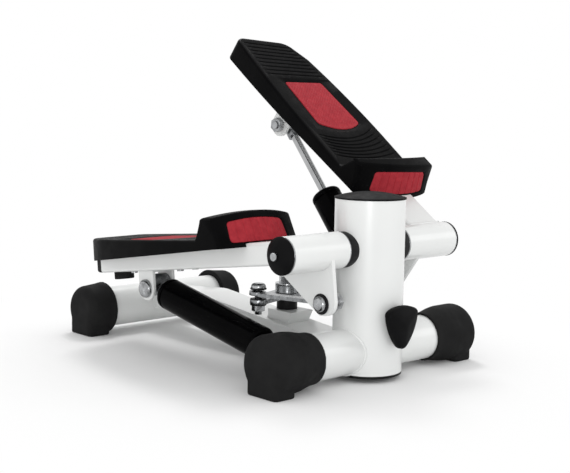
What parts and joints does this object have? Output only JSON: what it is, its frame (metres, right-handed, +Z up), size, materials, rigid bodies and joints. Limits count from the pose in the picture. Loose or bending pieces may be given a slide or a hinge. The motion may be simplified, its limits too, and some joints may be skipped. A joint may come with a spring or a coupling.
{
  "type": "mini stepper",
  "caption": "Compact floor stepper: ribbed foot pedals on hinged arms, linked by a rocker under the arms and slowed by dampers, on a tubular base with a front post and an adjusting knob.",
  "frame": {"origin": "centre of the machine's outer box, on the floor plane that its four feet stand on", "axes": "+Z up; +Y from the front post towards the heel end; +X to the right of a user who stands on it facing the post"},
  "size_m": [0.31, 0.4678, 0.3745],
  "materials": {
    "black_enamel": "gloss",
    "black_plastic": "matte",
    "black_rubber": "matte",
    "chrome_rod": "polished",
    "eye_steel": "satin",
    "gloss_black_plastic": "gloss",
    "pedal_plastic": "satin, moulded grain",
    "red_pad": "matte",
    "white_enamel": "gloss",
    "zinc_plate": "zinc plated",
    "zinc_steel": "zinc plated"
  },
  "bodies": {
    "frame": {"axle_end_bolts": "zinc_steel", "axle_end_caps": "gloss_black_plastic", "center_tube": "white_enamel", "damper_foot_bolts": "zinc_steel", "damper_foot_brackets": "white_enamel", "front_cross_tube": "white_enamel", "front_left_foot": "black_rubber", "front_post": "white_enamel", "front_right_foot": "black_rubber", "pivot_axle": "zinc_steel", "post_base_ring": "black_plastic", "post_cap": "gloss_black_plastic", "post_collars": "black_plastic", "rear_cross_tube": "white_enamel", "rear_left_foot": "black_rubber", "rear_right_foot": "black_rubber", "rocker_bracket": "white_enamel", "rocker_pivot_bolt": "zinc_steel", "rocker_thrust_bush": "black_plastic", "thrust_rings": "zinc_steel"},
    "left_lever": {"left_sleeve": "white_enamel", "left_sleeve_bushes": "black_plastic", "left_arm": "white_enamel", "left_arm_plug": "black_plastic", "left_bellcrank": "white_enamel", "left_crank_washer": "black_plastic", "left_damper_bracket": "white_enamel", "left_bumper": "black_rubber", "left_pedal": "pedal_plastic", "left_tread_pad": "red_pad", "left_guard_pad": "red_pad", "left_lever_fasteners": "zinc_steel"},
    "right_lever": {"right_sleeve": "white_enamel", "right_sleeve_bushes": "black_plastic", "right_arm": "white_enamel", "right_arm_plug": "black_plastic", "right_bellcrank": "white_enamel", "right_crank_washer": "black_plastic", "right_damper_bracket": "white_enamel", "right_bumper": "black_rubber", "right_pedal": "pedal_plastic", "right_tread_pad": "red_pad", "right_guard_pad": "red_pad", "right_lever_fasteners": "zinc_steel"},
    "rocker": {"rocker": "zinc_plate", "rocker_end_bolts": "zinc_steel", "rocker_end_washers": "black_plastic"},
    "left_link": {"left_link": "zinc_plate"},
    "right_link": {"right_link": "zinc_plate"},
    "left_barrel": {"left_damper_barrel": "black_enamel", "left_damper_head": "black_enamel"},
    "right_barrel": {"right_damper_barrel": "black_enamel", "right_damper_head": "black_enamel"},
    "left_rod": {"left_damper_rod": "chrome_rod", "left_rod_eye": "eye_steel"},
    "right_rod": {"right_damper_rod": "chrome_rod", "right_rod_eye": "eye_steel"},
    "knob": {"adjusting_knob": "gloss_black_plastic", "knob_screw": "zinc_steel"}
  },
  "joints": [
    {"name": "left_lever_hinge", "type": "hinge", "parent": "frame", "child": "left_lever", "pos_m": [0, -0.1744, 0.1413], "axis": [1, 0, 0], "range_deg": [0, 43.6]},
    {"name": "right_lever_hinge", "type": "hinge", "parent": "frame", "child": "right_lever", "pos_m": [0, -0.1744, 0.1413], "axis": [1, 0, 0], "range_deg": [-43.6, 0]},
    {"name": "rocker_pivot", "type": "hinge", "parent": "frame", "child": "rocker", "pos_m": [0, -0.048, 0.071], "axis": [0, 0, 1], "range_deg": [-34.5, 0]},
    {"name": "left_link_pin", "type": "hinge", "parent": "left_lever", "child": "left_link", "pos_m": [-0.0633, -0.17917, 0.08751], "axis": [1, 0, 0], "range_deg": [-49.6, 0]},
    {"name": "right_link_pin", "type": "hinge", "parent": "right_lever", "child": "right_link", "pos_m": [0.0633, -0.14076, 0.09906], "axis": [1, 0, 0], "range_deg": [0, 49.6]},
    {"name": "left_damper_foot_pin", "type": "hinge", "parent": "frame", "child": "left_barrel", "pos_m": [-0.094, -0.1379, 0.031], "axis": [1, 0, 0], "range_deg": [0, 39.5]},
    {"name": "right_damper_foot_pin", "type": "hinge", "parent": "frame", "child": "right_barrel", "pos_m": [0.094, -0.1379, 0.031], "axis": [1, 0, 0], "range_deg": [-39.5, 0]},
    {"name": "left_rod_slide", "type": "slide", "parent": "left_barrel", "child": "left_rod", "axis": [0, 0.9807, 0.1957], "range_m": [0, 0.0843]},
    {"name": "right_rod_slide", "type": "slide", "parent": "right_barrel", "child": "right_rod", "axis": [0, 0.633, 0.7741], "range_m": [-0.0843, 0]},
    {"name": "knob_turn", "type": "hinge", "parent": "frame", "child": "knob", "pos_m": [0, -0.2, 0.064], "axis": [0, -1, 0], "continuous": true}
  ],
  "couplings": [
    {"joint": "right_lever_hinge", "follows": "left_lever_hinge", "ratio": -1},
    {"joint": "rocker_pivot", "follows": "left_lever_hinge", "ratio": -0.78899},
    {"joint": "left_link_pin", "follows": "left_lever_hinge", "ratio": -1.1364},
    {"joint": "right_link_pin", "follows": "left_lever_hinge", "ratio": 1.1364},
    {"joint": "left_damper_foot_pin", "follows": "left_lever_hinge", "ratio": 0.90467},
    {"joint": "right_damper_foot_pin", "follows": "left_lever_hinge", "ratio": -0.90467},
    {"joint": "left_rod_slide", "follows": "left_lever_hinge", "m_per_rad": 0.1107},
    {"joint": "right_rod_slide", "follows": "left_lever_hinge", "m_per_rad": -0.1107}
  ]
}
